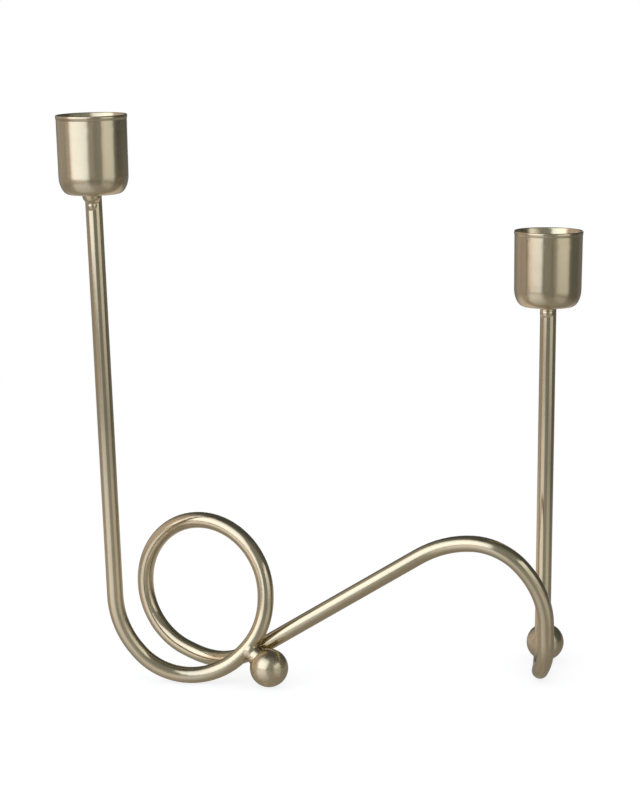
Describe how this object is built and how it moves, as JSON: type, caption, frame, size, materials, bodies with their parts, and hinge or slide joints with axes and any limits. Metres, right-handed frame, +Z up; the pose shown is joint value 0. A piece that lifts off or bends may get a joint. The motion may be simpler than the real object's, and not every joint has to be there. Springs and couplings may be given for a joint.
{
  "type": "spiral candle holder",
  "caption": "Free-standing metal candle holder: one round rod bent through a loop, an arch and a U bend, with a candle cup on each stem and ball feet.",
  "frame": {"origin": "on the table, under the middle of the whole holder's box", "axes": "+Z up, +X from the tall cup towards the short cup, -Y towards the side that the picture shows"},
  "size_m": [0.1906, 0.0552, 0.21],
  "materials": {
    "rod_brass": "satin polished pale brass round rod, faint draw lines along its length",
    "cup_brass": "polished pale brass cup, faint turning rings, crisp rolled rim",
    "ball_brass": "polished pale brass ball",
    "weld_brass": "hand-dressed brazed bead, smooth and slightly uneven, same pale brass"
  },
  "bodies": {
    "root": {"bent_rod": "rod_brass", "tall_candle_cup": "cup_brass", "short_candle_cup": "cup_brass", "front_ball_foot": "ball_brass", "rear_ball_foot": "ball_brass", "tall_cup_weld": "weld_brass", "short_cup_weld": "weld_brass", "front_foot_weld": "weld_brass", "crossing_weld": "weld_brass", "rear_foot_weld": "weld_brass"}
  },
  "joints": []
}
